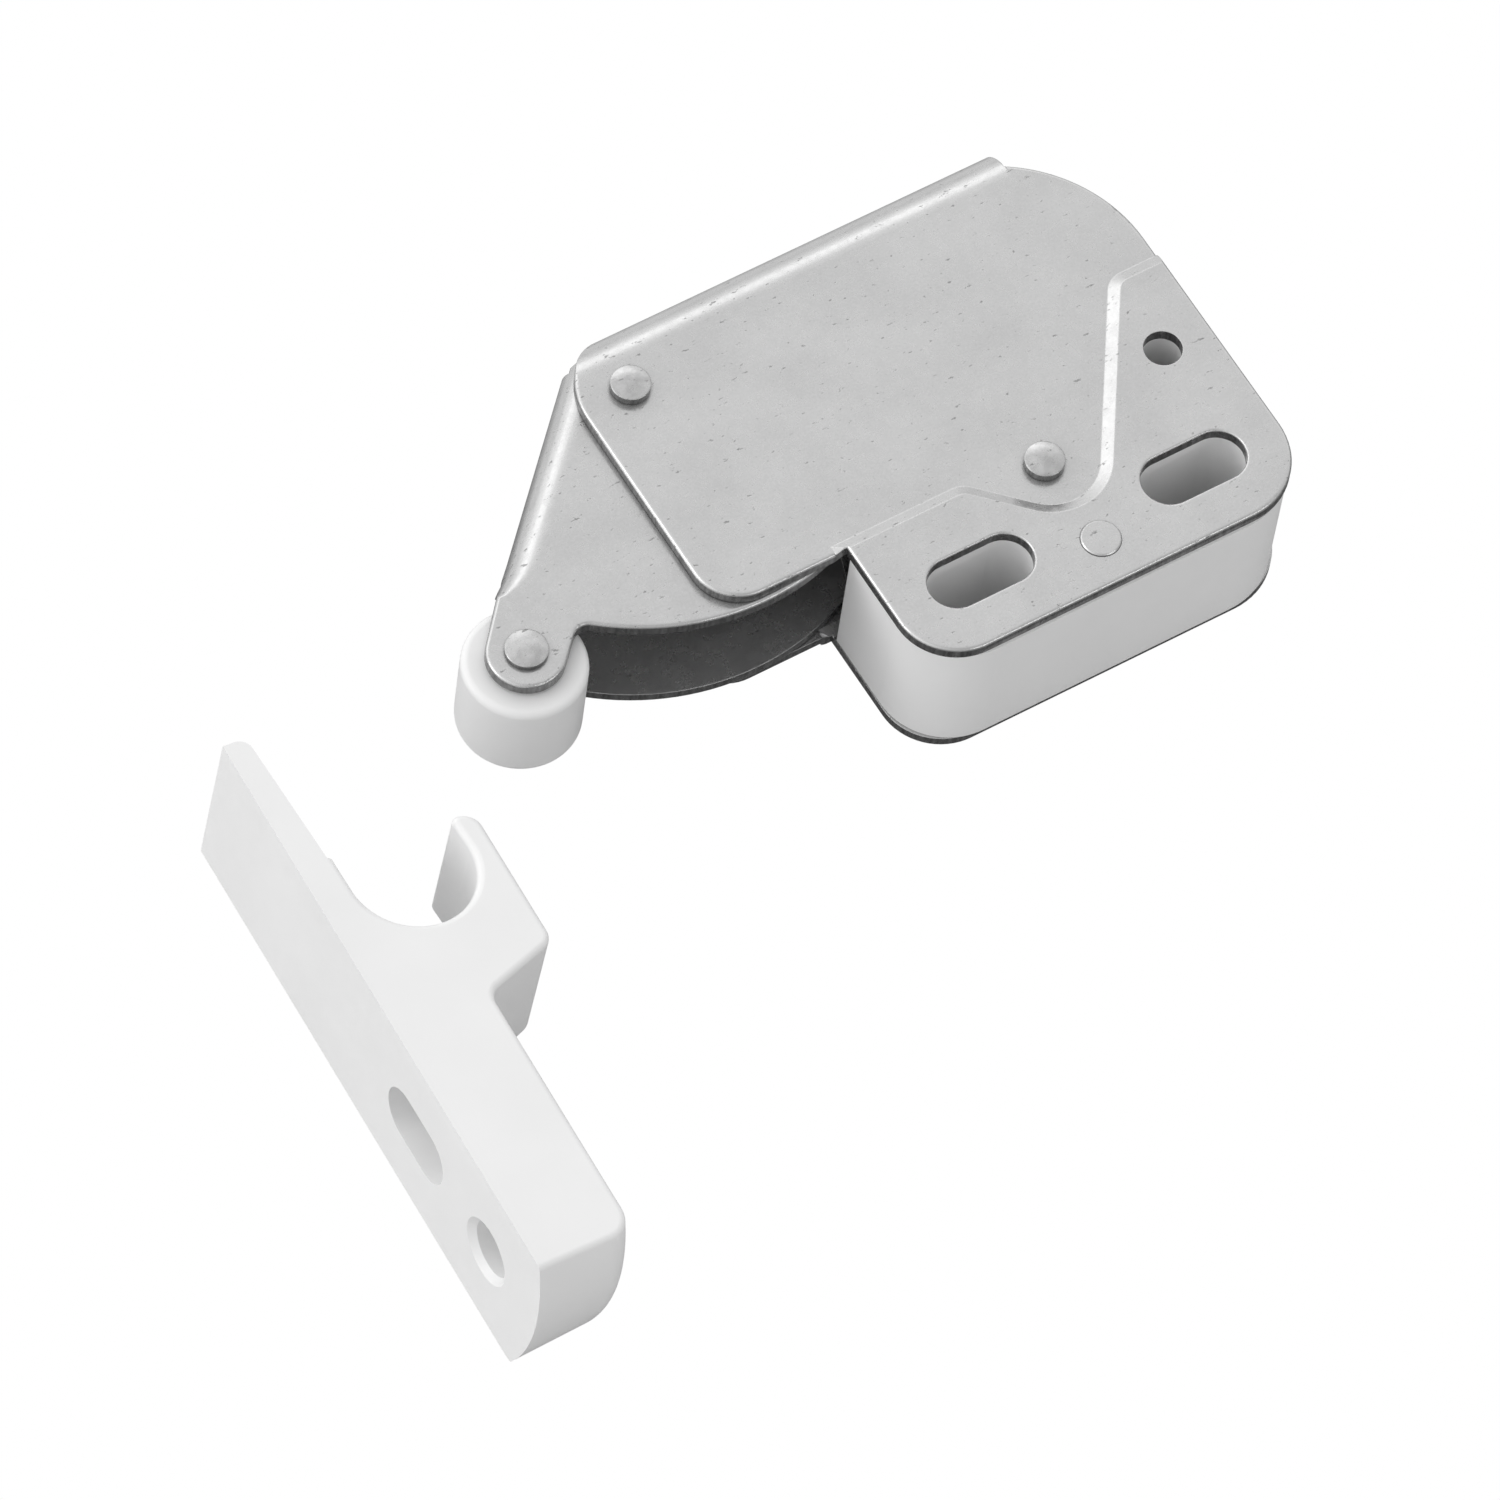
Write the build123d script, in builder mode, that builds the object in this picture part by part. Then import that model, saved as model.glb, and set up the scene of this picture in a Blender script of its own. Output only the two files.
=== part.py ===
"""Touch latch with a swinging roller lever, and its moulded keeper.

Millimetres. The latch lies on its lower side plate, which is the face that is screwed to the
cabinet. The origin is midway between the two fixing slots, on that face. X runs along the slots
to the rear, Y to the folded spine, Z up through both side plates.
"""

import os
from math import atan2, cos, degrees, radians, sin, sqrt, tan

from build123d import *

os.makedirs("parts", exist_ok=True)

# Housing sheet and stack
overall = 13.5
mid = overall / 2
sheet = 1.0
recess = 0.45
chamber_top = overall - recess
chamber_ceiling = chamber_top - sheet
chamber_floor = overall - chamber_ceiling
mount_ceiling = overall - sheet

# Housing plan
mount_left = -16.5
mount_front = -5.5
chamber_left = -27.15
chamber_front = 6.25
rear_edge = 16.6
spine_outer = 31.2
spine_bend = 3.4
spine_start = -24.3
web_end = 10.9
rear_corner = (4.7, 18.6)
rear_corner_r = rear_edge - rear_corner[0]
rolled_edge = 0.32
spine_corner_r = 6.5
chamber_corner_r = 3.6
mount_front_r = 4.7
mount_rear_r = 5.7
spine_cut_start = 20.0
beyond = 30.0

# Raised mounting pad, its foot line
pad_step = 7.0
pad_slope = 0.9
pad_arc = (0.25, 5.9)
pad_arc_r = 3.9
pad_rise_deg = 55.8
pad_rear = 16.8
pad_bend_r = 2.0

# Fixing holes
slot_pitch = 18.15
slot_long = 8.4
slot_wide = 4.15
slot_rim = rolled_edge * 0.6
pilot_spot = (12.5, 9.6)
pilot_r = 1.45

# Spacer block
block_gap = 0.3
block_proud = 0.2
block_ledge = 0.7
block_inset = 0.1
block_slot_gap = 0.1

# Pins
pin_fit = 0.02
run_fit = 0.04
shank_r = 1.2
pin_head_r = 1.5
pin_head_high = 0.7
pin_dome = 0.25
low_head_r = 1.7
low_head_high = 0.4
pivot_spot = (chamber_left + 4.04, spine_outer - 5.78)
pivot_body_r = 1.7
catch_spot = (pad_arc[0] - 0.41, pad_arc[1] - 0.28)
catch_body_r = 1.5
stake_spot = (-0.07, -1.9)
stake_r = 1.5
stake_proud = 0.15
stake_chamfer = 0.1

# Lever, a channel folded along its slanted front edge
lever_gap = 0.05
lever_top = chamber_ceiling - lever_gap
lever_bottom = overall - lever_top
leg_inner = lever_top - sheet
fold_reach = 5.16
fold_top = spine_outer - 1.3
fold_r = 2.0
fold_low = 16.8
lobe_r = 19.5
lobe_end_deg = -62.0
lobe_end_r = 1.0
leg_reach = 14.5
leg_rear_r = 3.0
leg_gap = 0.3
leg_drop = 0.57
boss_r = 2.75
tip_r = 2.95
neck_r = 1.2
travel_deg = 44.0

# Roller and its axle
roller_r = 4.64
roller_high = 7.8
roller_round = 0.6
axle_r = 1.9
axle_end_r = 1.2
axle_head_r = 1.6
axle_head_high = 0.65
axle_head_round = 0.3
axle_along = -22.92
axle_inside = 3.28

# Cam between the lever's legs, and the catch arm whose nose follows it
cam_low = 4.4
cam_high = overall - cam_low
cam_inner_r = 9.0
cam_clear = 0.15
cam_post_r = 1.8
cam_peg_r = 1.2
cam_peg_r_out = 11.6
cam_peg_degs = (-64, -90)
cam_turns = (-6, 0, 8, 16, 24, 32, 38, 44, 50)
cam_corner_r = 1.0
nose_r = 1.0
nose_out = 17.0
nose_deg = -55.0
arm_ratio = -0.18
arm_hub_r = 2.9
arm_peg_r = 0.8
arm_peg_out = 7.0
arm_peg_gap = 0.05
arm_side_deg = 80

# Springs
bush_r = 2.8
drive_wire_r = 0.5
drive_coil_r = 3.55
drive_low = 3.9
drive_leg = 9.0
catch_wire_r = 0.35
catch_coil_r = 2.15
catch_low = 2.1
catch_room = 0.6
catch_block_leg = 3.4
catch_arm_leg = 8.4

# Keeper, standing on one drafted side
keeper_origin = (-65.3, 13.21, 0)
keeper_turn = -2.2
keeper_draft = 4.3
keeper_wide = 14.0
keeper_long = 47.85
mouth_spot = (7.7, -14.0)
mouth_r = 4.8
prong_front = 14.3
strap_front = 7.95
keeper_slot_y = -30.5
keeper_slot_long = 7.9
keeper_slot_wide = 4.6
keeper_hole_y = -40.8
keeper_hole_r = 2.15
keeper_sink_r = 2.65
keeper_round = 0.5
keeper_end_r = 18.0
keeper_end_level = 7.6
keeper_corner_r = 2.0
keeper_foot_r = 2.8
prong_tip = (12.35, -11.35)
prong_rear = -23.15
strap_start = -25.35
arm_thick = 1.9
arm_foot = 2.45
arm_end = -11.1
arm_notch = (0.4, -0.2)
arm_end_r = 1.0
prong_tip_r = 0.5
prong_corner_r = 1.4
prong_foot_r = 1.3

root2 = sqrt(2)


def along_fold(u, v):
    """Plan point u along the lever's fold line from the pivot's foot, v inside it."""
    foot = (pivot_spot[0] + pivot_spot[1]) / root2 + u
    side = (pivot_spot[0] - pivot_spot[1]) / root2 - fold_reach + v
    return ((foot + side) / root2, (foot - side) / root2)


def polar(centre, radius, angle):
    """Plan point at a radius and an angle in degrees from a centre."""
    return (centre[0] + radius * cos(radians(angle)), centre[1] + radius * sin(radians(angle)))


axle_spot = along_fold(axle_along, axle_inside)
fold_offset = pivot_spot[1] - pivot_spot[0] + fold_reach * root2
cam_peg_spots = [polar(pivot_spot, cam_peg_r_out, angle) for angle in cam_peg_degs]

# Plan outline of both side plates
with BuildSketch() as plate_outline:
    with BuildLine():
        rear_sweep = degrees(atan2(
            sqrt(rear_corner_r ** 2 - (web_end - rear_corner[0]) ** 2),
            web_end - rear_corner[0],
        ))
        rear_arc = CenterArc(rear_corner, rear_corner_r, 0, rear_sweep)
        Polyline(
            rear_arc @ 1,
            (web_end, spine_outer),
            (chamber_left, spine_outer),
            (chamber_left, chamber_front),
            (mount_left, chamber_front),
            (mount_left, mount_front),
            (rear_edge, mount_front),
            rear_arc @ 0,
        )
    make_face()
    for spot, radius in (
        ((chamber_left, spine_outer), spine_corner_r),
        ((chamber_left, chamber_front), chamber_corner_r),
        ((mount_left, mount_front), mount_front_r),
        ((rear_edge, mount_front), mount_rear_r),
    ):
        fillet(plate_outline.vertices().sort_by_distance(spot)[0], radius)

# Region of the raised pad, along the foot of its slope
left_touch = polar(pad_arc, pad_arc_r, 225)
right_touch = polar(pad_arc, pad_arc_r, pad_rise_deg - 90)
left_bend = (left_touch[0] - (pad_step - left_touch[1]), pad_step)
rise_run = (pad_rear - right_touch[1]) / tan(radians(pad_rise_deg))
right_bend = (right_touch[0] + rise_run, pad_rear)
with BuildSketch() as pad_reach:
    with BuildLine():
        pad_line = ThreePointArc(left_touch, polar(pad_arc, pad_arc_r, 270), right_touch)
        Polyline(
            pad_line @ 1,
            right_bend,
            (beyond, pad_rear),
            (beyond, -beyond),
            (-beyond, -beyond),
            (-beyond, pad_step),
            left_bend,
            pad_line @ 0,
        )
    make_face()
    for spot in (left_bend, right_bend):
        fillet(pad_reach.vertices().sort_by_distance(spot)[0], pad_bend_r)
with BuildSketch() as pad_foot:
    add(pad_reach.sketch)
    with Locations((mount_left - pad_slope, 0)):
        Rectangle(2 * beyond, 2 * beyond, align=(Align.MIN, Align.CENTER), mode=Mode.INTERSECT)

# Raised pad with its sloped border
with BuildPart() as pad:
    with BuildSketch(Plane.XY.offset(chamber_top)):
        add(pad_foot.sketch)
    with BuildSketch(Plane.XY.offset(overall)):
        offset(pad_foot.sketch, amount=-pad_slope)
    loft(ruled=True)


def on_slot_rim(edge):
    """True for the straight and round edges of the two fixing slots."""
    across, up = abs(edge.center().X), abs(edge.center().Y)
    return abs(across - slot_pitch / 2) < slot_long / 2 + 0.1 and up < slot_wide / 2 + 0.1


# Solids that trim the two levels of the plate and roll their cut edges
with BuildPart() as plate_blank:
    with BuildSketch():
        add(plate_outline.sketch)
    extrude(amount=chamber_top)
    fillet(plate_blank.edges().group_by(Axis.Z)[-1], rolled_edge)
with BuildPart() as pad_blank:
    with BuildSketch():
        add(plate_outline.sketch)
    extrude(amount=overall)
    fillet(pad_blank.edges().group_by(Axis.Z)[-1], rolled_edge)
    with BuildSketch():
        add(pad_foot.sketch)
    extrude(amount=overall, mode=Mode.INTERSECT)
with BuildPart() as trim_blank:
    add(plate_blank.part)
    add(pad_blank.part)

# Housing: one sheet folded into a channel, with both side plates pressed out round the slots
with BuildPart() as housing:
    with BuildSketch(Plane.YZ.offset(chamber_left)) as channel:
        with BuildLine():
            Polyline(
                (mount_front, mid), (mount_front, chamber_top), (spine_outer, chamber_top),
                (spine_outer, mid), close=True,
            )
        make_face()
        fillet(channel.vertices().sort_by_distance((spine_outer, chamber_top))[0], spine_bend)
    extrude(amount=web_end - chamber_left)
    with BuildSketch(Plane.YZ.offset(chamber_left)) as hollow:
        with BuildLine():
            Polyline(
                (mount_front, mid), (mount_front, chamber_ceiling),
                (spine_outer - sheet, chamber_ceiling), (spine_outer - sheet, mid), close=True,
            )
        make_face()
        fillet(
            hollow.vertices().sort_by_distance((spine_outer - sheet, chamber_ceiling))[0],
            spine_bend - sheet,
        )
    extrude(amount=web_end - chamber_left, mode=Mode.SUBTRACT)
    with BuildSketch(Plane.XY.offset(mid)):
        with Locations((spine_start, spine_cut_start)):
            Rectangle(beyond, beyond, align=(Align.MAX, Align.MIN))
    extrude(amount=chamber_ceiling - mid, mode=Mode.SUBTRACT)
    with BuildSketch(Plane.XY.offset(chamber_ceiling)):
        with Locations((web_end, mount_front)):
            Rectangle(rear_edge - web_end, spine_outer - mount_front, align=(Align.MIN, Align.MIN))
    extrude(amount=sheet)
    add(pad.part)
    add(pad.part.moved(Location((0, 0, -sheet))), mode=Mode.SUBTRACT)
    add(trim_blank.part, mode=Mode.INTERSECT)
    with BuildSketch(Plane.XY.offset(mid)):
        with GridLocations(slot_pitch, 1, 2, 1):
            SlotOverall(slot_long, slot_wide)
        with Locations(pilot_spot):
            Circle(pilot_r)
        with Locations(pivot_spot, catch_spot):
            Circle(shank_r + pin_fit)
        with Locations(stake_spot):
            Circle(stake_r + pin_fit)
    extrude(amount=overall, mode=Mode.SUBTRACT)
    fillet(housing.edges().group_by(Axis.Z)[-1].filter_by(on_slot_rim), slot_rim)
    mirror(about=Plane.XY.offset(mid))
housing.part.label = "housing"
export_step(housing.part, "parts/housing.step")


# Spacer block moulded to fill the mounting end
with BuildPart() as spacer_block:
    with BuildSketch(Plane.XY.offset(sheet)) as block_plan:
        with BuildLine():
            Polyline(
                (mount_left + block_inset, mount_front - block_proud),
                (rear_edge, mount_front - block_proud),
                (rear_edge, pad_rear),
                (mount_left + block_inset, pad_rear),
                close=True,
            )
        make_face()
        for spot, radius in (
            ((mount_left, mount_front), mount_front_r + block_ledge),
            ((rear_edge, mount_front), mount_rear_r + block_ledge),
        ):
            fillet(block_plan.vertices().sort_by_distance(spot)[0], radius)
        offset(pad_reach.sketch, amount=-pad_slope - block_gap, mode=Mode.INTERSECT)
    extrude(amount=mount_ceiling - sheet)
    with BuildSketch(Plane.XY.offset(sheet)):
        with GridLocations(slot_pitch, 1, 2, 1):
            SlotOverall(slot_long + block_slot_gap, slot_wide + block_slot_gap)
        with Locations(pilot_spot):
            Circle(pilot_r)
        with Locations(stake_spot):
            Circle(stake_r + pin_fit)
    extrude(amount=overall, mode=Mode.SUBTRACT)
spacer_block.part.label = "spacer_block"
export_step(spacer_block.part, "parts/spacer_block.step")


# Staked pin that holds the block, set nearly flush
with BuildPart() as block_rivet:
    with Locations((stake_spot[0], stake_spot[1], 0)):
        Cylinder(stake_r, overall + stake_proud, align=(Align.CENTER, Align.CENTER, Align.MIN))
    chamfer(block_rivet.edges().sort_by(Axis.Z)[-1], stake_chamfer)
block_rivet.part.label = "block_rivet"
export_step(block_rivet.part, "parts/block_rivet.step")


def rivet_line(spot, levels, radii):
    """Closed half section of a stepped pin whose upper end is a low dome."""
    points = [(spot[0], levels[0])]
    for low, high, radius in zip(levels[:-1], levels[1:], radii):
        points.append((spot[0] + radius, low))
        points.append((spot[0] + radius, high))
    crown_r = (radii[-1] ** 2 + pin_dome ** 2) / (2 * pin_dome)
    half_deg = 90 - degrees(atan2(radii[-1], crown_r - pin_dome)) / 2
    crown_centre = (spot[0], levels[-1] + pin_dome - crown_r)
    steps = Polyline(points)
    crown = ThreePointArc(
        steps @ 1,
        polar(crown_centre, crown_r, half_deg),
        polar(crown_centre, crown_r, 90),
    )
    Line(crown @ 1, steps @ 0)


# Shouldered rivets that carry the lever and the catch arm
plate_levels = (recess - low_head_high, recess, chamber_floor, chamber_ceiling, chamber_top,
                chamber_top + pin_head_high)
with BuildPart() as pivot_rivet:
    with BuildSketch(Plane.XZ.offset(-pivot_spot[1])):
        with BuildLine():
            rivet_line(
                pivot_spot,
                plate_levels,
                (low_head_r, shank_r, pivot_body_r, shank_r, pin_head_r),
            )
        make_face()
    revolve(axis=Axis((pivot_spot[0], pivot_spot[1], 0), (0, 0, 1)))
pivot_rivet.part.label = "pivot_rivet"
export_step(pivot_rivet.part, "parts/pivot_rivet.step")

with BuildPart() as catch_rivet:
    with BuildSketch(Plane.XZ.offset(-catch_spot[1])):
        with BuildLine():
            rivet_line(
                catch_spot,
                plate_levels,
                (low_head_r, shank_r, catch_body_r, shank_r, pin_head_r),
            )
        make_face()
    revolve(axis=Axis((catch_spot[0], catch_spot[1], 0), (0, 0, 1)))
catch_rivet.part.label = "catch_rivet"
export_step(catch_rivet.part, "parts/catch_rivet.step")


# Plan outline of the lever's two legs
leg_turn = polar(pivot_spot, boss_r, 90 - travel_deg)
leg_rear = polar(leg_turn, leg_reach, -travel_deg)
lobe_end = polar(pivot_spot, lobe_r, lobe_end_deg)
tip_inner = polar(axle_spot, tip_r, -45)
tip_outer = polar(axle_spot, tip_r, 135)
neck_along = (tip_inner[0] - pivot_spot[0] + tip_inner[1] - pivot_spot[1]) / root2
neck_aside = (tip_inner[0] - pivot_spot[0] - tip_inner[1] + pivot_spot[1]) / root2
neck_run = -sqrt(lobe_r ** 2 - neck_aside ** 2) - neck_along
neck_spot = (tip_inner[0] + neck_run / root2, tip_inner[1] + neck_run / root2)
with BuildSketch() as leg_outline:
    with Locations(pivot_spot):
        Circle(lobe_r)
    with BuildLine():
        Polyline(
            along_fold(-beyond, 0),
            (fold_top - fold_offset, fold_top),
            (spine_start - leg_gap, fold_top),
            (spine_start - leg_gap, pivot_spot[1] + boss_r - leg_drop),
            leg_turn,
            leg_rear,
            lobe_end,
            (lobe_end[0], -beyond),
            (-2 * beyond, -beyond),
            close=True,
        )
    make_face(mode=Mode.INTERSECT)
    with Locations(pivot_spot):
        Circle(boss_r)
    with BuildLine():
        Polyline(
            tip_outer,
            along_fold(-fold_low, 0),
            along_fold(-fold_low + 3, 3),
            (tip_inner[0] + 5, tip_inner[1] + 5),
            tip_inner,
            close=True,
        )
    make_face()
    with Locations(axle_spot):
        Circle(tip_r)
    fillet(leg_outline.vertices().sort_by_distance(neck_spot)[0], neck_r)
    fillet(leg_outline.vertices().sort_by_distance(leg_rear)[0], leg_rear_r)
    fillet(leg_outline.vertices().sort_by_distance(lobe_end)[0], lobe_end_r)

# Lever: two legs joined by a web along the fold
fold_plane = Plane(
    origin=(*along_fold(-fold_low, 0), 0),
    x_dir=(1 / root2, -1 / root2, 0),
    z_dir=(1 / root2, 1 / root2, 0),
)
fold_long = fold_low + (fold_top * 2 - fold_offset - sum(pivot_spot)) / root2
with BuildPart() as lever:
    with BuildSketch(Plane.XY.offset(leg_inner)):
        add(leg_outline.sketch)
    extrude(amount=sheet)
    fillet(lever.edges().group_by(Axis.Z)[-1], rolled_edge)
    with BuildSketch(fold_plane) as fold_section:
        with BuildLine():
            outer_arc = CenterArc((fold_r, -(lever_top - fold_r)), fold_r, 180, 90)
            inner_arc = CenterArc((fold_r, -(lever_top - fold_r)), fold_r - sheet, 180, 90)
            Line(outer_arc @ 1, inner_arc @ 1)
            Polyline(inner_arc @ 0, (sheet, -mid), (0, -mid), outer_arc @ 0)
        make_face()
    extrude(amount=fold_long)
    with BuildSketch(Plane.XY.offset(leg_inner)):
        with Locations(pivot_spot):
            Circle(pivot_body_r + run_fit)
        with Locations(axle_spot):
            Circle(axle_end_r + pin_fit)
        with Locations(*cam_peg_spots):
            Circle(cam_peg_r + pin_fit)
    extrude(amount=sheet, mode=Mode.SUBTRACT)
    mirror(about=Plane.XY.offset(mid))
lever.part.label = "lever"
export_step(lever.part, "parts/lever.step")


# Staked axle across the lever's legs
with BuildPart() as roller_axle:
    with BuildSketch(Plane.XZ.offset(-axle_spot[1])):
        with BuildLine():
            rivet_line(
                axle_spot,
                (
                    lever_bottom - axle_head_high,
                    lever_bottom,
                    overall - leg_inner,
                    leg_inner,
                    lever_top,
                    lever_top + axle_head_high - pin_dome,
                ),
                (axle_head_r, axle_end_r, axle_r, axle_end_r, axle_head_r),
            )
        make_face()
    revolve(axis=Axis((axle_spot[0], axle_spot[1], 0), (0, 0, 1)))
    fillet(roller_axle.edges().sort_by(Axis.Z)[0], axle_head_round)
roller_axle.part.label = "roller_axle"
export_step(roller_axle.part, "parts/roller_axle.step")


# Roller
with BuildPart() as roller:
    with Locations((axle_spot[0], axle_spot[1], mid)):
        Cylinder(roller_r, roller_high)
    fillet(roller.edges(), roller_round)
    with Locations((axle_spot[0], axle_spot[1], mid)):
        Cylinder(axle_r + run_fit, roller_high, mode=Mode.SUBTRACT)
roller.part.label = "roller"
export_step(roller.part, "parts/roller.step")


# Bush that centres the drive spring on the pivot rivet
with BuildPart() as spring_bush:
    with BuildSketch(Plane.XY.offset(overall - leg_inner + lever_gap)):
        with Locations(pivot_spot):
            Circle(bush_r)
            Circle(pivot_body_r + run_fit, mode=Mode.SUBTRACT)
    extrude(amount=2 * (leg_inner - mid - lever_gap))
spring_bush.part.label = "spring_bush"
export_step(spring_bush.part, "parts/spring_bush.step")


# Drive spring: one leg along the spine, one along the lever's web
drive_turns = 5 + 45 / 360
drive_high = overall - 2 * drive_low
with BuildLine() as drive_line:
    Helix(drive_high / drive_turns, drive_high, drive_coil_r)
drive_coil = drive_line.line.moved(Location((pivot_spot[0], pivot_spot[1], drive_low), (0, 0, 90)))
with BuildPart() as drive_spring:
    with BuildSketch(Plane(origin=drive_coil @ 0, z_dir=drive_coil % 0)):
        Circle(drive_wire_r)
    sweep(path=drive_coil, is_frenet=True)
    with BuildSketch(Plane(origin=drive_coil @ 0, z_dir=(drive_coil % 0) * -1)):
        Circle(drive_wire_r)
    extrude(amount=drive_leg)
    with BuildSketch(Plane(origin=drive_coil @ 1, z_dir=drive_coil % 1)):
        Circle(drive_wire_r)
    extrude(amount=drive_leg)
drive_spring.part.label = "drive_spring"
export_step(drive_spring.part, "parts/drive_spring.step")


def nose_at(turn):
    """Centre of the catch arm's nose, seen from the lever, after the lever has turned."""
    start = polar(pivot_spot, nose_out, nose_deg)
    swing = radians(arm_ratio * turn)
    across, up = start[0] - catch_spot[0], start[1] - catch_spot[1]
    moved = (
        catch_spot[0] + across * cos(swing) - up * sin(swing),
        catch_spot[1] + across * sin(swing) + up * cos(swing),
    )
    across, up = moved[0] - pivot_spot[0], moved[1] - pivot_spot[1]
    return sqrt(across ** 2 + up ** 2), degrees(atan2(up, across)) - turn


# Cam, held by pegs in both legs
cam_edge = []
for swing_deg in cam_turns:
    out, angle = nose_at(swing_deg)
    cam_edge.append(polar(pivot_spot, out - nose_r - cam_clear, angle))
cam_start_deg = nose_at(cam_turns[0])[1]
cam_end_deg = nose_at(cam_turns[-1])[1]
with BuildPart() as cam:
    with BuildSketch(Plane.XY.offset(cam_low)):
        with BuildLine():
            cam_rim = Spline(*cam_edge)
            cam_back = ThreePointArc(
                polar(pivot_spot, cam_inner_r, cam_end_deg),
                polar(pivot_spot, cam_inner_r, (cam_start_deg + cam_end_deg) / 2),
                polar(pivot_spot, cam_inner_r, cam_start_deg),
            )
            Line(cam_rim @ 1, cam_back @ 0)
            Line(cam_back @ 1, cam_rim @ 0)
        make_face()
    extrude(amount=cam_high - cam_low)
    fillet(cam.edges().filter_by(Axis.Z), cam_corner_r)
    with BuildSketch(Plane.XY.offset(overall - leg_inner + lever_gap)):
        with Locations(*cam_peg_spots):
            Circle(cam_post_r)
    extrude(amount=2 * (leg_inner - mid - lever_gap))
    with BuildSketch(Plane.XY.offset(lever_bottom + lever_gap)):
        with Locations(*cam_peg_spots):
            Circle(cam_peg_r)
    extrude(amount=2 * (lever_top - mid - lever_gap))
cam.part.label = "cam"
export_step(cam.part, "parts/cam.step")


# Catch arm on the second rivet
nose_start = polar(pivot_spot, nose_out, nose_deg)
arm_long = sqrt((nose_start[0] - catch_spot[0]) ** 2 + (nose_start[1] - catch_spot[1]) ** 2)
arm_deg = degrees(atan2(nose_start[1] - catch_spot[1], nose_start[0] - catch_spot[0]))
arm_peg_aside = catch_coil_r - catch_wire_r - arm_peg_r - arm_peg_gap
arm_peg_spot = polar(polar(catch_spot, arm_peg_out, arm_deg), arm_peg_aside, arm_deg + 90)
with BuildPart() as catch_arm:
    with BuildSketch(Plane.XY.offset(cam_low)):
        with Locations(catch_spot):
            Circle(arm_hub_r)
        with Locations(nose_start):
            Circle(nose_r)
        with BuildLine():
            Polyline(
                polar(catch_spot, arm_hub_r, arm_deg + arm_side_deg),
                polar(nose_start, nose_r, arm_deg + arm_side_deg),
                polar(nose_start, nose_r, arm_deg - arm_side_deg),
                polar(catch_spot, arm_hub_r, arm_deg - arm_side_deg),
                close=True,
            )
        make_face()
    extrude(amount=cam_high - cam_low)
    with BuildSketch(Plane.XY.offset(cam_high)):
        with Locations(catch_spot):
            Circle(arm_hub_r)
    extrude(amount=chamber_ceiling - lever_gap - cam_high)
    with BuildSketch(Plane.XY.offset(catch_low)):
        with Locations(arm_peg_spot):
            Circle(arm_peg_r)
    extrude(amount=cam_low - catch_low)
    with BuildSketch(Plane.XY.offset(catch_low)):
        with Locations(catch_spot):
            Circle(catch_body_r + run_fit)
    extrude(amount=overall, mode=Mode.SUBTRACT)
catch_arm.part.label = "catch_arm"
export_step(catch_arm.part, "parts/catch_arm.step")


# Catch spring: one leg against the block, one on the arm's peg
catch_turns = 2 + (90 - arm_deg) / 360
catch_high = cam_low - catch_room - catch_wire_r - catch_low
with BuildLine() as catch_line:
    Helix(catch_high / catch_turns, catch_high, catch_coil_r, lefthand=True)
catch_coil = catch_line.line.moved(Location((catch_spot[0], catch_spot[1], catch_low), (0, 0, 180)))
with BuildPart() as catch_spring:
    with BuildSketch(Plane(origin=catch_coil @ 0, z_dir=catch_coil % 0)):
        Circle(catch_wire_r)
    sweep(path=catch_coil, is_frenet=True)
    with BuildSketch(Plane(origin=catch_coil @ 0, z_dir=(catch_coil % 0) * -1)):
        Circle(catch_wire_r)
    extrude(amount=catch_block_leg)
    with BuildSketch(Plane(origin=catch_coil @ 1, z_dir=catch_coil % 1)):
        Circle(catch_wire_r)
    extrude(amount=catch_arm_leg)
catch_spring.part.label = "catch_spring"
export_step(catch_spring.part, "parts/catch_spring.step")


# Keeper, moulded in one piece; its drafted side lies on the same level as the latch
turn = radians(keeper_turn)
lean = radians(keeper_draft)
keeper_x = Vector(cos(lean) * cos(turn), cos(lean) * sin(turn), -sin(lean))
keeper_z = Vector(sin(lean) * cos(turn), sin(lean) * sin(turn), cos(lean))
keeper_y = keeper_z.cross(keeper_x)
keeper_plane = Plane(origin=keeper_origin, x_dir=keeper_x, z_dir=keeper_z)
back_plane = Plane(origin=keeper_origin, x_dir=keeper_y, z_dir=keeper_x)


def on_end_corner(edge):
    """True for the curved edge between the keeper's front and its rounded end."""
    spot = keeper_plane.to_local_coords(edge).center()
    return abs(spot.X - strap_front) < 0.02 and spot.Y < -keeper_long + 2.5


def on_front_rim(edge):
    """True for the edges between the keeper's front and its two sides, apart from the mouth."""
    spot = keeper_plane.to_local_coords(edge).center()
    on_side = abs(spot.Z - keeper_wide / 2) > 5
    along_front = spot.X > strap_front - 1 and spot.Y < -12.3
    along_end = spot.X > 0.5 and spot.Y < -keeper_long + 3
    return on_side and (along_front or along_end)


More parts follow.
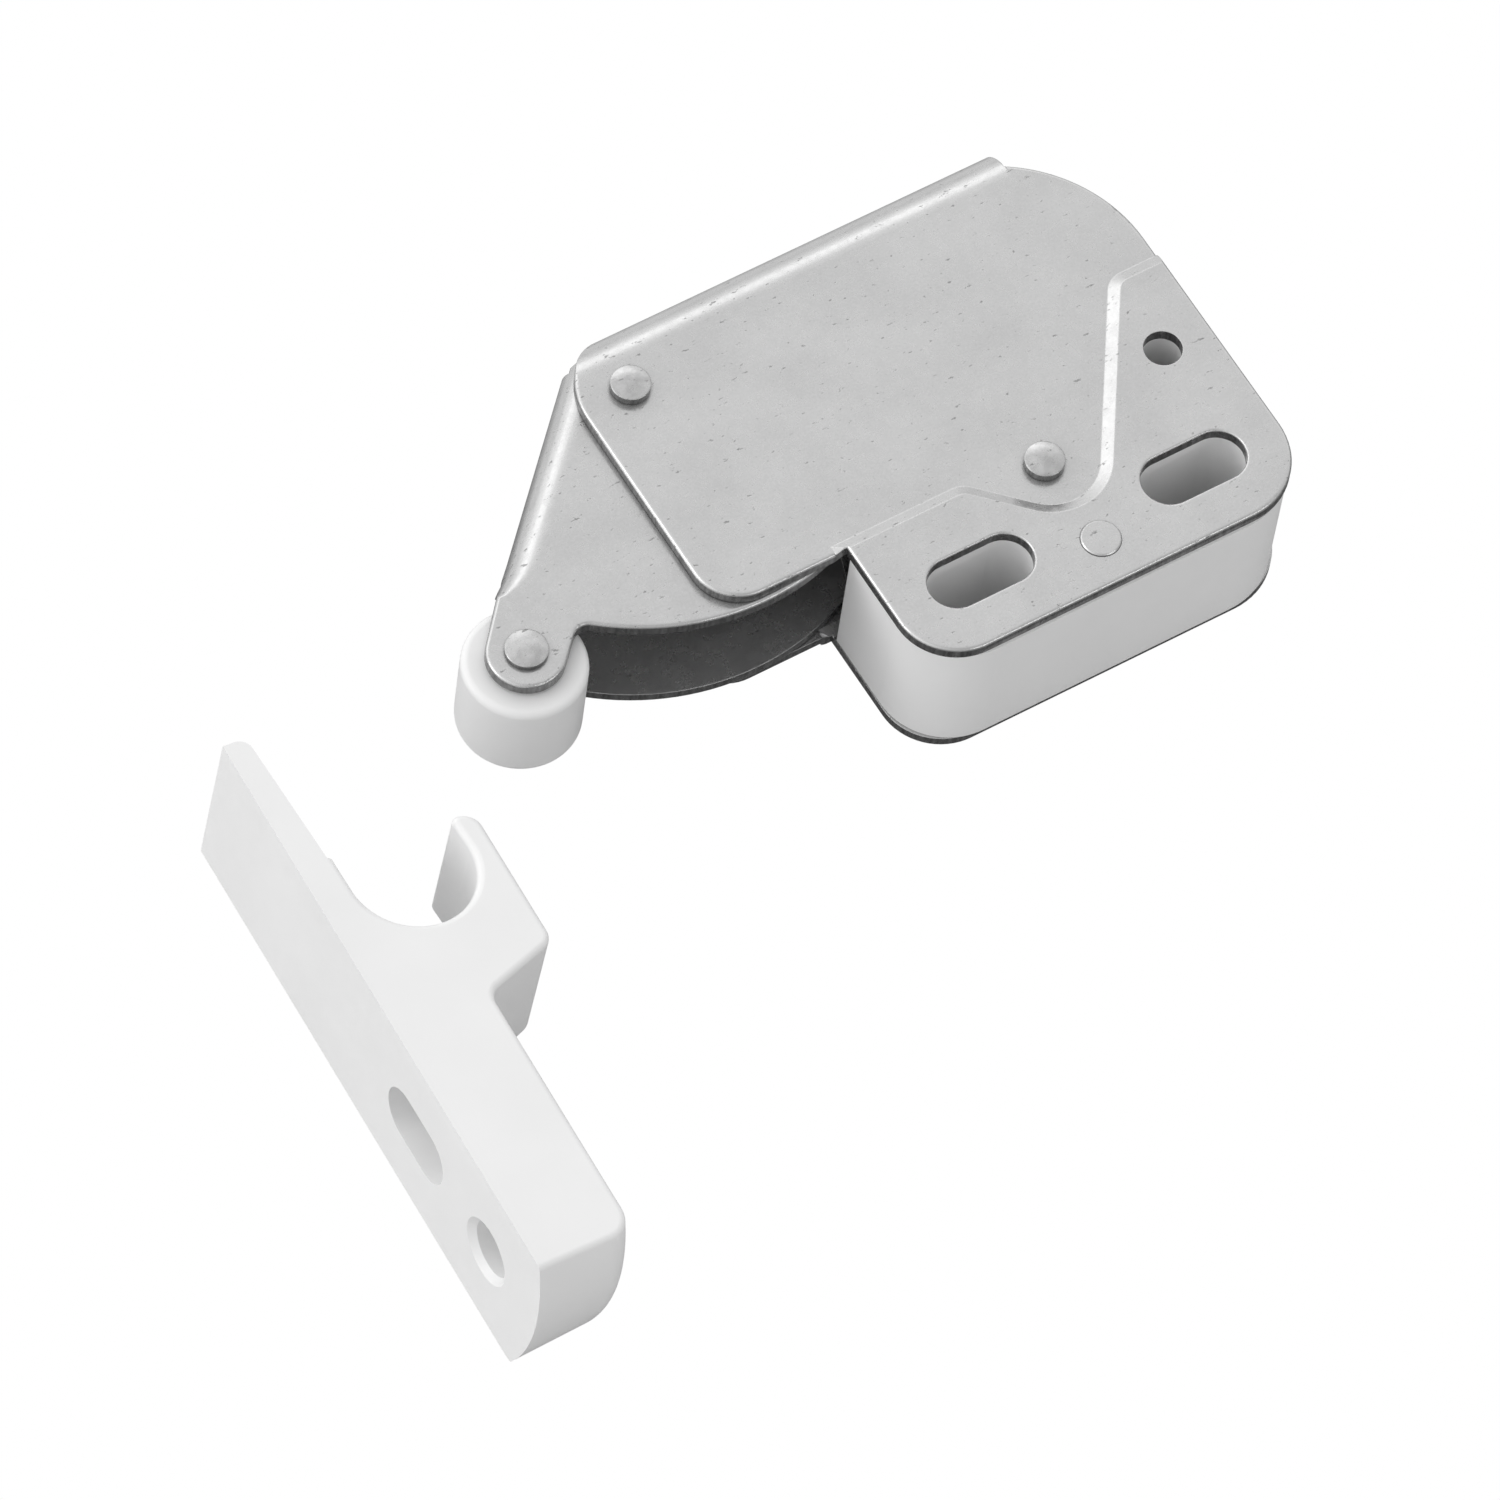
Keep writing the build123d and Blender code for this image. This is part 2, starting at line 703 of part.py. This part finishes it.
with BuildPart() as keeper:
    with BuildSketch(keeper_plane) as keeper_profile:
        with BuildLine():
            mouth = ThreePointArc(
                (mouth_spot[0] - mouth_r, mouth_spot[1]),
                (mouth_spot[0], mouth_spot[1] - mouth_r),
                (mouth_spot[0] + mouth_r, mouth_spot[1]),
            )
            Polyline(
                mouth @ 1,
                prong_tip,
                (prong_front, prong_tip[1]),
                (prong_front, prong_rear),
                (strap_front, strap_start),
                (strap_front, -keeper_long - 1),
                (0, -keeper_long - 1),
                (0, 0),
                (arm_thick, 0),
                (arm_foot, arm_end),
                (arm_foot + arm_notch[0], arm_end + arm_notch[1]),
                mouth @ 0,
            )
        make_face()
        for spot, radius in (
            (prong_tip, prong_tip_r),
            ((prong_front, prong_tip[1]), prong_corner_r),
            ((prong_front, prong_rear), prong_foot_r),
            ((strap_front, strap_start), prong_foot_r),
            ((arm_thick, 0), arm_end_r),
        ):
            fillet(keeper_profile.vertices().sort_by_distance(spot)[0], radius)
    extrude(amount=keeper_wide)
    split(bisect_by=Plane.XY, keep=Keep.TOP)
    split(
        bisect_by=Plane(
            origin=keeper_plane.from_local_coords((0, 0, keeper_wide)),
            z_dir=keeper_x * sin(lean) + keeper_z * cos(lean),
        ),
        keep=Keep.BOTTOM,
    )
    with BuildSketch(back_plane):
        with Locations((keeper_end_r - keeper_long, keeper_end_level)):
            Circle(keeper_end_r)
            Rectangle(2 * keeper_long, 2 * keeper_end_r, align=(Align.MIN, Align.CENTER))
    extrude(amount=20, taper=keeper_draft, mode=Mode.INTERSECT)
    fillet(keeper.edges().filter_by(on_end_corner), keeper_corner_r)
    fillet(keeper.edges().filter_by(on_front_rim), keeper_round)
    with BuildSketch(back_plane) as keeper_foot:
        with Locations((-keeper_long - 0.2, 0)):
            Rectangle(2 * keeper_long, 2 * keeper_wide, align=(Align.MIN, Align.MIN))
        fillet(keeper_foot.vertices().sort_by_distance((-keeper_long, 0))[0], keeper_foot_r)
    extrude(amount=20, mode=Mode.INTERSECT)
    with BuildSketch(back_plane):
        with Locations((keeper_slot_y, keeper_wide / 2)):
            SlotOverall(keeper_slot_long, keeper_slot_wide)
        with Locations((keeper_hole_y, keeper_wide / 2)):
            Circle(keeper_hole_r)
    extrude(amount=20, mode=Mode.SUBTRACT)
    with BuildSketch(back_plane):
        with Locations((keeper_hole_y, keeper_wide / 2)):
            Circle(keeper_sink_r)
    extrude(amount=keeper_sink_r - keeper_hole_r, taper=45, mode=Mode.SUBTRACT)
keeper.part.label = "keeper"
export_step(keeper.part, "parts/keeper.step")
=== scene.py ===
"""Touch latch with its keeper, dressed for a product photograph.

Metres, in the part's own frame: X runs along the fixing slots to the rear, Y to the folded spine,
Z up through both side plates.
"""

from math import cos, radians, sin, sqrt

import bmesh
import bpy
from mathutils import Matrix, Vector


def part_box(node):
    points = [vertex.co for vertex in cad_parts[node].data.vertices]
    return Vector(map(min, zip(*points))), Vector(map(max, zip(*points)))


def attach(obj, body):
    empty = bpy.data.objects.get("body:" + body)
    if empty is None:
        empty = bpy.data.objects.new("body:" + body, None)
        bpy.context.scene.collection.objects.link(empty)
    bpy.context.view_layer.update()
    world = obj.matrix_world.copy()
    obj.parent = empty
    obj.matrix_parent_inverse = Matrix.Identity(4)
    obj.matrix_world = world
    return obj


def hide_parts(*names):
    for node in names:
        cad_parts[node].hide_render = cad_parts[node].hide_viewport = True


MM = 0.001

# Photograph: its side and focal length in pixels, and the pixel where a known point of the part is seen
PHOTO_SIDE = 1500
PHOTO_FOCAL = 13000
MARK_PIXEL = (1000, 500)
MARK_PLACE = Vector((0.775, 10.7, 0)) * MM

# Camera that took it
SENSOR = 36.0
CAMERA_AZIMUTH = radians(-39.2444)
CAMERA_ELEVATION = radians(59.2684)
CAMERA_ROLL = radians(9.1355)
CAMERA_DISTANCE = 949.6 * MM
CAMERA_REACH = 10.0

# Stack of sheets: its middle, and how far the channel's inner walls reach from there
STACK_MIDDLE = 6.75 * MM
WALL_HALF = 4.1 * MM
WALL_FADE = 0.2 * MM

# Lever's outer bends: millimetres along the fold from the pivot, and the round's radius there
FOLD_ROUNDS = ((-19.4, 0.2), (-18.8, 0.9), (-17.9, 1.5), (-16.8, 2.0), (-15.2, 2.4), (6.0, 2.4))
FOLD_STEPS = 14
CORNER_JOIN = 0.001 * MM
LEVER_SHARP = radians(30)

# Drive spring: depth of the leg that swings, below the top, and the gap where the spring is parted
SPRING_LEG_DEPTH = 1.5 * MM
SPRING_PARTING = 0.03 * MM
SPRING_SHARP = radians(40)

# Steel surface: cells a metre of its grain, and depths of its relief
GRAIN_CELLS = 5200
GRIT_CELLS = 4200
DRAWN_CELLS = 3000
PIT_CELLS = 2300
SHEEN_CELLS = 1400
GRIT_DEPTH = 0.03 * MM
PIT_DEPTH = 0.04 * MM
# Reach of the painted shade in nooks and corners
NOOK_SHADE_REACH = 0.6 * MM
DASHED = (0.5, 1.15, 1.0)
DRAWN = (1.0, 1.0, 0.12)

# Moulded surface
TEXTURE_CELLS = 2600
SPECK_CELLS = 1500
SOFT_SHEEN_CELLS = 900
FLOW_CELLS = 120
TEXTURE_DEPTH = 0.03 * MM

# Studio: lamps by name, place, width, height and power
LAMPS = (
    ("sky_box", (0.27, 0.36, 0.78), 1.2, 1.2, 0.5),
    ("front_strip", (0.30, -0.82, 0.40), 0.8, 0.12, 1.0),
    ("left_box", (-0.84, 0.36, 0.36), 0.5, 0.36, 1.2),
    ("back_box", (0.05, 0.80, 0.53), 1.1, 0.30, 0.6),
)
STUDIO_MIDDLE = Vector((-22, 0, 7)) * MM
TENT_BY_HEIGHT = ((0.0, 0.5), (0.12, 0.85), (0.35, 1.1), (0.6, 1.1), (0.85, 0.8))
TENT_BY_DEPTH = ((0.1, 0.45), (0.5, 0.95), (0.9, 1.1))
TENT_BY_SIDE = ((0.1, 1.45), (0.5, 1.03), (0.8, 0.9))
FLOOR_HALF = 2.5
FLOOR_GREY = 0.6
MIRRORED_NEAR = 0.03
MIRRORED_FAR = 0.06
MIRRORED_GREYS = ((0.0, 0.16), (1.0, 0.8))

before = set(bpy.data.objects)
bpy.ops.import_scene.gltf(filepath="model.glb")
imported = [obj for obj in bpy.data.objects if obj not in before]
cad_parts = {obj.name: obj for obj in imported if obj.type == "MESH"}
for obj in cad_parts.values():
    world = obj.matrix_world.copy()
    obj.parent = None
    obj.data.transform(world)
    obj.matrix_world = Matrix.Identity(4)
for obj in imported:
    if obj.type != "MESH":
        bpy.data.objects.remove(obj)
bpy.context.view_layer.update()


# Materials

def new_material(name):
    """Empty node material and its tree."""
    material = bpy.data.materials.new(name)
    material.use_nodes = True
    tree = material.node_tree
    tree.nodes.clear()
    return material, tree


def node(tree, kind, links=(), **inputs):
    """One shader node: constant inputs by name, linked inputs as (name, socket) pairs."""
    made = tree.nodes.new(kind)
    for key, value in inputs.items():
        if hasattr(made, key):
            setattr(made, key, value)
        else:
            made.inputs[key.replace("_", " ")].default_value = value
    for key, socket in links:
        tree.links.new(socket, made.inputs[key])
    return made


def ramp(tree, source, stops):
    """Colour ramp fed by a socket; each stop is a place and a grey level."""
    made = tree.nodes.new("ShaderNodeValToRGB")
    band = made.color_ramp
    while len(band.elements) < len(stops):
        band.elements.new(0.5)
    for element, (place, level) in zip(band.elements, stops):
        element.position = place
        element.color = grey(level)
    tree.links.new(source, made.inputs[0])
    return made.outputs[0]


def grey(level):
    """Opaque grey colour."""
    return (level, level, level, 1)


def noise(tree, coords, scale, detail=2.0, rough=0.5):
    """Noise value at a number of cells a metre."""
    made = node(
        tree, "ShaderNodeTexNoise", [("Vector", coords)],
        Scale=scale, Detail=detail, Roughness=rough,
    )
    return made.outputs["Fac"]


def mix_colour(tree, factor, first, second, blend="MIX"):
    """Mixes two colour sockets or constants by a socket or a number."""
    made = tree.nodes.new("ShaderNodeMix")
    made.data_type = "RGBA"
    made.blend_type = blend
    for index, value in ((0, factor), (6, first), (7, second)):
        if isinstance(value, bpy.types.NodeSocket):
            tree.links.new(value, made.inputs[index])
        else:
            made.inputs[index].default_value = value
    return made.outputs[2]


def darkened(tree, tone, shade, amount=1.0):
    """Colour multiplied by a shade, as far as an amount says."""
    return mix_colour(tree, amount, tone, shade, "MULTIPLY")


def stretched(tree, coords, scale):
    """Coordinates scaled along their axes, so that noise on them turns into dashes."""
    return node(tree, "ShaderNodeMapping", [("Vector", coords)], Scale=scale).outputs[0]


def spread(tree, source, low, high):
    """Value from nought at the low end to one at the high end."""
    made = node(tree, "ShaderNodeMapRange", [("Value", source)], From_Min=low, From_Max=high)
    return made.outputs[0]


def absolute(tree, source):
    """Size of a value, whatever its sign."""
    return node(tree, "ShaderNodeMath", [(0, source)], operation="ABSOLUTE").outputs[0]


def steep_faces(tree, normal_parts):
    """One on upright faces, nought on level ones."""
    return ramp(tree, absolute(tree, normal_parts.outputs["Z"]), ((0.1, 1.0), (0.4, 0.0)))


def shaded_cut_faces(tree, coords, normal_parts):
    """Mask of the painted shade on cut edges: one on the sheets' sheared edges, nought on rolled faces,
    outer bends and inner walls.
    """
    away = ramp(tree, normal_parts.outputs["Y"], ((0.45, 1.0), (0.65, 0.0)))
    sheared = darkened(tree, steep_faces(tree, normal_parts), away)
    place = node(tree, "ShaderNodeSeparateXYZ", [("Vector", coords)])
    from_middle = node(tree, "ShaderNodeMath", [(0, place.outputs["Z"])], operation="SUBTRACT")
    from_middle.inputs[1].default_value = STACK_MIDDLE
    off_middle = absolute(tree, from_middle.outputs[0])
    return darkened(tree, sheared, spread(tree, off_middle, WALL_HALF, WALL_HALF + WALL_FADE))


def plated_steel(name, light, dark, roughness, edge_shade_level=0.2, patches=170, ease=0.12):
    """Satin zinc plating: even grey with fine grain, faint clouding and small pits, with painted shade
    on the cut edges and in nooks.
    """
    material, tree = new_material(name)
    coords_node = node(tree, "ShaderNodeTexCoord")
    coords = coords_node.outputs["Object"]
    normal_parts = node(tree, "ShaderNodeSeparateXYZ", [("Vector", coords_node.outputs["Normal"])])

    cloud = ramp(tree, noise(tree, coords, patches, 3), ((0.35, dark), (0.65, light)))
    grain = ramp(tree, noise(tree, coords, GRAIN_CELLS, 2, 0.6), ((0.3, 0.88), (0.7, 1.0)))
    tone = darkened(tree, cloud, grain, 0.55)
    dashes = stretched(tree, coords, DASHED)
    pits = ramp(tree, noise(tree, dashes, PIT_CELLS, 4, 0.65), ((0.32, 0.2), (0.37, 1.0)))
    tone = darkened(tree, tone, pits, 0.6)

    drawn = noise(tree, stretched(tree, coords, DRAWN), DRAWN_CELLS, 4, 0.7)
    wall = darkened(tree, tone, ramp(tree, drawn, ((0.35, 0.84), (0.65, 1.0))))
    tone = mix_colour(tree, steep_faces(tree, normal_parts), tone, wall)
    # Painted shade on the sheared edges: much darker, in upright streaks
    painted_edge_shade = ramp(tree, drawn, ((0.35, edge_shade_level * 0.55), (0.7, edge_shade_level * 1.5)))
    tone = mix_colour(tree, shaded_cut_faces(tree, coords, normal_parts), tone, painted_edge_shade)
    # Painted shade: darker in nooks and corners and around the feet of the rivets
    nook_shade = node(tree, "ShaderNodeAmbientOcclusion", Distance=NOOK_SHADE_REACH)
    tone = darkened(tree, tone, ramp(tree, nook_shade.outputs["AO"], ((0.2, 0.3), (0.75, 1.0))))

    sheen = noise(tree, coords, SHEEN_CELLS, 3)
    rough = ramp(tree, sheen, ((0.3, roughness - 0.06), (0.7, roughness + 0.08)))
    eased = node(tree, "ShaderNodeBevel", samples=6, Radius=ease * MM)
    grit_height = noise(tree, coords, GRIT_CELLS, 3, 0.6)
    grit = node(
        tree, "ShaderNodeBump", [("Height", grit_height), ("Normal", eased.outputs[0])],
        Strength=0.16, Distance=GRIT_DEPTH,
    )
    dimple = node(
        tree, "ShaderNodeBump", [("Height", pits), ("Normal", grit.outputs[0])],
        Strength=0.4, Distance=PIT_DEPTH,
    )
    shader = node(tree, "ShaderNodeBsdfPrincipled", [
        ("Base Color", tone), ("Roughness", rough), ("Normal", dimple.outputs[0]),
    ], Metallic=0.75)
    node(tree, "ShaderNodeOutputMaterial", [("Surface", shader.outputs[0])])
    return material


def moulded(name, level, roughness):
    """Moulded plastic with faint flow clouding, fine texture and a soft sheen."""
    material, tree = new_material(name)
    coords = node(tree, "ShaderNodeTexCoord").outputs["Object"]
    cloud = ramp(tree, noise(tree, coords, FLOW_CELLS, 3), ((0.3, level * 0.965), (0.7, level)))
    specks = ramp(tree, noise(tree, coords, SPECK_CELLS, 3, 0.7), ((0.2, 0.55), (0.24, 1.0)))
    tone = darkened(tree, cloud, specks, 0.5)
    sheen = noise(tree, coords, SOFT_SHEEN_CELLS, 3)
    rough = ramp(tree, sheen, ((0.3, roughness - 0.05), (0.7, roughness + 0.05)))
    bump = node(
        tree, "ShaderNodeBump", [("Height", noise(tree, coords, TEXTURE_CELLS, 3, 0.6))],
        Strength=0.08, Distance=TEXTURE_DEPTH,
    )
    shader = node(tree, "ShaderNodeBsdfPrincipled", [
        ("Base Color", tone), ("Roughness", rough), ("Normal", bump.outputs[0]),
    ], Specular_IOR_Level=0.35)
    node(tree, "ShaderNodeOutputMaterial", [("Surface", shader.outputs[0])])
    return material


steel = plated_steel("plated_steel", 0.62, 0.58, 0.23)
rivet_steel = plated_steel("rivet_steel", 0.59, 0.46, 0.25, patches=900, ease=0.2)
spring_steel = plated_steel("spring_steel", 0.40, 0.32, 0.34, edge_shade_level=0.36)
white = moulded("white_plastic", 0.86, 0.42)
roller_white = moulded("roller_plastic", 0.84, 0.38)
dark = moulded("dark_plastic", 0.03, 0.45)

finishes = {
    "housing": steel,
    "lever": steel,
    "spacer_block": white,
    "keeper": white,
    "roller": roller_white,
    "block_rivet": steel,
    "pivot_rivet": rivet_steel,
    "catch_rivet": rivet_steel,
    "roller_axle": rivet_steel,
    "spring_bush": dark,
    "cam": dark,
    "catch_arm": dark,
    "drive_spring": spring_steel,
    "catch_spring": spring_steel,
}
for name, material in finishes.items():
    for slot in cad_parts[name].material_slots:
        slot.material = material


def placed(name, data):
    """New object in the scene that holds a mesh, a lamp or a camera."""
    made = bpy.data.objects.new(name, data)
    bpy.context.collection.objects.link(made)
    return made


# Lever with the outer bends of its channel rounded

def fold_place(along, inside, height):
    """Place by distance along the lever's slanted fold, distance inside its outer face, and height."""
    return Vector(((along + inside) / sqrt(2), (along - inside) / sqrt(2), height))


def corner_section(face, top, up, radius):
    """Points of a square corner less its quarter round, as distance inside the fold and height."""
    section = [(face - MM, top + up * MM), (face - MM, top - up * radius)]
    for step in range(FOLD_STEPS + 1):
        turn = radians(90) * step / FOLD_STEPS
        section.append((face + radius * (1 - cos(turn)), top - up * radius * (1 - sin(turn))))
    section.append((face + radius, top + up * MM))
    return section


def corner_bar(name, start, face, top, up):
    """Bar that takes a square corner off the fold and leaves a round that runs out at its lower end."""
    shape = bmesh.new()
    rings = []
    for along, radius in FOLD_ROUNDS:
        section = corner_section(face, top, up, radius * MM)
        places = [fold_place(start + along * MM, *point) for point in section]
        rings.append([shape.verts.new(place) for place in places])
    shape.faces.new(rings[0])
    shape.faces.new(rings[-1][::-1])
    for near, far in zip(rings[:-1], rings[1:]):
        for first in range(len(near)):
            second = (first + 1) % len(near)
            shape.faces.new((near[second], near[first], far[first], far[second]))
    bmesh.ops.triangulate(shape, faces=shape.faces)
    bmesh.ops.recalc_face_normals(shape, faces=shape.faces)
    mesh = bpy.data.meshes.new(name)
    shape.to_mesh(mesh)
    shape.free()
    return placed(name, mesh)


def joined_copy(name, source):
    """Closed copy of a CAD mesh, with the corners of its faces joined."""
    shape = bmesh.new()
    shape.from_mesh(source.data)
    bmesh.ops.remove_doubles(shape, verts=shape.verts, dist=CORNER_JOIN)
    shape.verts.index_update()
    mesh = bpy.data.meshes.new(name)
    mesh.from_pydata(
        [vertex.co[:] for vertex in shape.verts],
        [],
        [[vertex.index for vertex in face.verts] for face in shape.faces],
    )
    shape.free()
    return placed(name, mesh)


def finish_mesh(mesh, material, sharp):
    """Gives a mesh its one material, and smooth shading between its sharp edges."""
    mesh.materials.clear()
    mesh.materials.append(material)
    mesh.shade_smooth()
    mesh.set_sharp_from_angle(angle=sharp)


cad_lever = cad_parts["lever"]
lever_low, lever_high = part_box("lever")
pivot_low, pivot_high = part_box("pivot_rivet")
pivot = (pivot_low + pivot_high) / 2
pivot_along = (pivot.x + pivot.y) / sqrt(2)
fold_face = min(vertex.co.x - vertex.co.y for vertex in cad_lever.data.vertices) / sqrt(2)
square_lever = joined_copy("square_lever", cad_lever)
corners = [
    corner_bar("upper_corner", pivot_along, fold_face, lever_high.z, 1),
    corner_bar("lower_corner", pivot_along, fold_face, lever_low.z, -1),
]
for corner in corners:
    cut = square_lever.modifiers.new(corner.name, "BOOLEAN")
    cut.operation = "DIFFERENCE"
    cut.solver = "EXACT"
    cut.object = corner
depsgraph = bpy.context.evaluated_depsgraph_get()
folded_mesh = bpy.data.meshes.new_from_object(square_lever.evaluated_get(depsgraph))
for spare in (square_lever, *corners):
    bpy.data.objects.remove(spare)
finish_mesh(folded_mesh, steel, LEVER_SHARP)
folded_lever = placed("folded_lever", folded_mesh)
evened = folded_lever.modifiers.new("even_shading", "WEIGHTED_NORMAL")
evened.keep_sharp = True
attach(folded_lever, "lever")
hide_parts("lever")


# Drive spring in two lengths: its coil stays with the housing, its upper leg swings with the lever

def spring_length(name, source, level, upper, body):
    """Part of the spring above or below a level, closed where it is parted."""
    made = joined_copy(name, source)
    shape = bmesh.new()
    shape.from_mesh(made.data)
    bmesh.ops.bisect_plane(
        shape,
        geom=[*shape.verts, *shape.edges, *shape.faces],
        plane_co=(0, 0, level),
        plane_no=(0, 0, 1),
        clear_inner=upper,
        clear_outer=not upper,
    )
    bmesh.ops.holes_fill(shape, edges=[edge for edge in shape.edges if edge.is_boundary])
    shape.to_mesh(made.data)
    shape.free()
    finish_mesh(made.data, spring_steel, SPRING_SHARP)
    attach(made, body)
    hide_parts("drive_spring")


cad_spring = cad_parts["drive_spring"]
parting_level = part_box("drive_spring")[1].z - SPRING_LEG_DEPTH
spring_length("spring_coil", cad_spring, parting_level - SPRING_PARTING, False, "frame")
spring_length("spring_leg", cad_spring, parting_level, True, "lever")


# Studio: softboxes, a bright tent and white paper under the part

for name, position, width, height, power in LAMPS:
    lamp = bpy.data.lights.new(name, "AREA")
    lamp.shape = "RECTANGLE"
    lamp.size = width
    lamp.size_y = height
    lamp.energy = power
    softbox = placed(name, lamp)
    softbox.location = position
    softbox.rotation_euler = (STUDIO_MIDDLE - Vector(position)).to_track_quat("-Z", "Y").to_euler()

world = bpy.data.worlds.new("studio")
bpy.context.scene.world = world
world.use_nodes = True
sky = world.node_tree
heading = node(sky, "ShaderNodeTexCoord").outputs["Generated"]
heading_parts = node(sky, "ShaderNodeSeparateXYZ", [("Vector", heading)])
by_height = ramp(sky, heading_parts.outputs["Z"], TENT_BY_HEIGHT)
by_depth = ramp(sky, spread(sky, heading_parts.outputs["Y"], -1.0, 1.0), TENT_BY_DEPTH)
by_side = ramp(sky, spread(sky, heading_parts.outputs["X"], -1.0, 1.0), TENT_BY_SIDE)
tent = darkened(sky, darkened(sky, by_height, by_depth), by_side)
sky_paths = node(sky, "ShaderNodeLightPath")
shown_sky = mix_colour(sky, sky_paths.outputs["Is Camera Ray"], tent, grey(1.0))
background = sky.nodes["Background"]
sky.links.new(shown_sky, background.inputs["Color"])
background.inputs["Strength"].default_value = 1.0

paper, paper_tree = new_material("paper")
paths = node(paper_tree, "ShaderNodeLightPath")
seen = node(paper_tree, "ShaderNodeEmission", Color=grey(1.0), Strength=1.0)
lit = node(paper_tree, "ShaderNodeBsdfDiffuse", Color=grey(FLOOR_GREY))
paper_place = node(paper_tree, "ShaderNodeTexCoord").outputs["Object"]
paper_parts = node(paper_tree, "ShaderNodeSeparateXYZ", [("Vector", paper_place)])
far_side = spread(paper_tree, paper_parts.outputs["Y"], MIRRORED_NEAR, MIRRORED_FAR)
shade = ramp(paper_tree, far_side, MIRRORED_GREYS)
mirrored = node(paper_tree, "ShaderNodeEmission", [("Color", shade)], Strength=1.0)
soft = node(paper_tree, "ShaderNodeMixShader", [
    ("Fac", paths.outputs["Is Glossy Ray"]), (1, lit.outputs[0]), (2, mirrored.outputs[0]),
])
shown = node(paper_tree, "ShaderNodeMixShader", [
    ("Fac", paths.outputs["Is Camera Ray"]), (1, soft.outputs[0]), (2, seen.outputs[0]),
])
node(paper_tree, "ShaderNodeOutputMaterial", [("Surface", shown.outputs[0])])

floor_mesh = bpy.data.meshes.new("floor")
shape = bmesh.new()
bmesh.ops.create_grid(shape, x_segments=1, y_segments=1, size=FLOOR_HALF)
shape.to_mesh(floor_mesh)
shape.free()
floor_mesh.materials.append(paper)
floor = placed("floor", floor_mesh)


# Camera, at the photograph's angle

ahead = Vector((
    -sin(CAMERA_AZIMUTH) * cos(CAMERA_ELEVATION),
    cos(CAMERA_AZIMUTH) * cos(CAMERA_ELEVATION),
    -sin(CAMERA_ELEVATION),
))
level_right = Vector((cos(CAMERA_AZIMUTH), sin(CAMERA_AZIMUTH), 0))
level_down = ahead.cross(level_right)
right = level_right * cos(CAMERA_ROLL) - level_down * sin(CAMERA_ROLL)
down = level_right * sin(CAMERA_ROLL) + level_down * cos(CAMERA_ROLL)
mark_right, mark_down = (
    (pixel - PHOTO_SIDE / 2) / PHOTO_FOCAL * CAMERA_DISTANCE for pixel in MARK_PIXEL
)
camera = placed("camera", bpy.data.cameras.new("camera"))
camera.data.sensor_width = SENSOR
camera.data.lens = SENSOR * PHOTO_FOCAL / PHOTO_SIDE
camera.data.clip_end = CAMERA_REACH
camera.location = MARK_PLACE - right * mark_right - down * mark_down - ahead * CAMERA_DISTANCE
camera.rotation_euler = Matrix((right, -down, -ahead)).transposed().to_euler()
bpy.context.scene.camera = camera
bpy.context.scene.view_settings.view_transform = "Standard"
